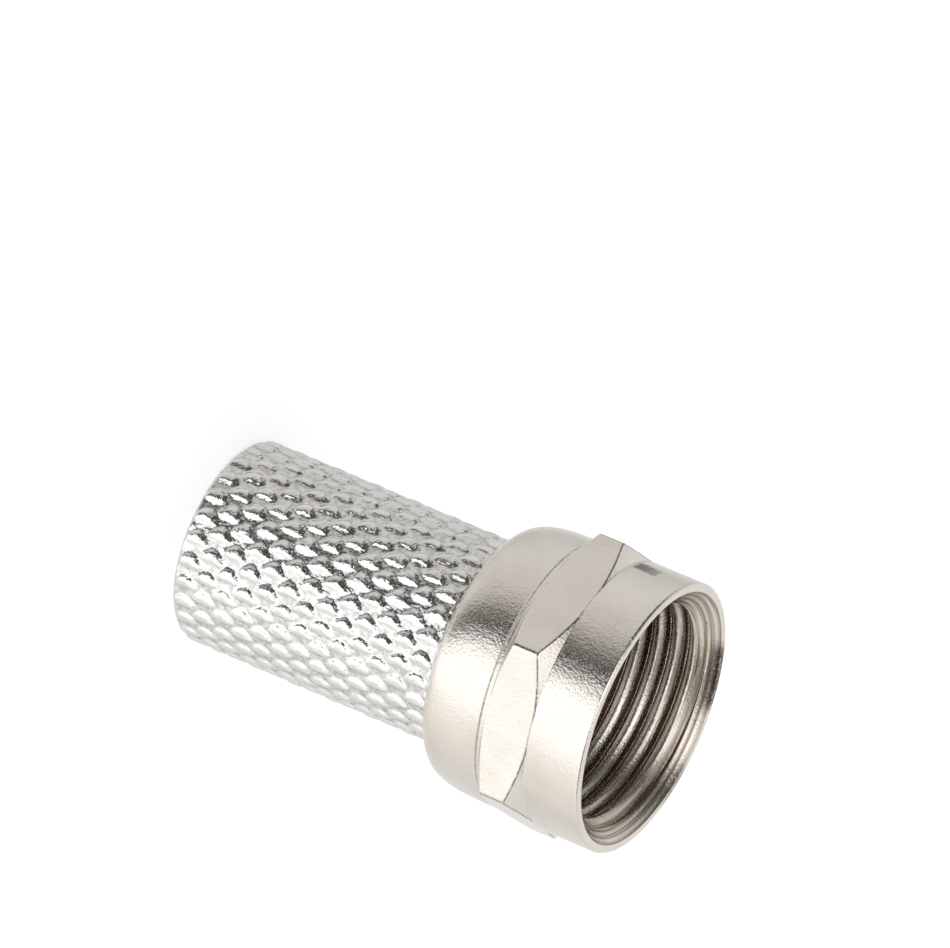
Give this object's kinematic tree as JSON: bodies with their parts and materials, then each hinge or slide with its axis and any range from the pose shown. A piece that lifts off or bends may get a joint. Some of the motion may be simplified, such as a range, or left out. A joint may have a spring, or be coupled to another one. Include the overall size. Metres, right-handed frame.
{
  "type": "f connector",
  "caption": "Screw-on coaxial plug: a hexagonal coupling nut that turns freely on a diamond-knurled, internally threaded cable sleeve.",
  "frame": {"origin": "centre of the cable end of the sleeve, on its rim plane", "axes": "+Z along the plug's axis, from the cable end to the mating mouth; +X towards a corner of the hexagon"},
  "size_m": [0.0124, 0.011, 0.019],
  "materials": {
    "sleeve_nickel": "bright nickel plate over a diamond knurl",
    "nut_nickel": "bright nickel plate, faintly grainy"
  },
  "bodies": {
    "sleeve": {"cable_sleeve": "sleeve_nickel"},
    "nut": {"coupling_nut": "nut_nickel"}
  },
  "joints": [
    {"name": "nut_spin", "type": "hinge", "parent": "sleeve", "child": "nut", "pos_m": [0, 0, 0.0125], "axis": [0, 0, 1], "continuous": true}
  ]
}
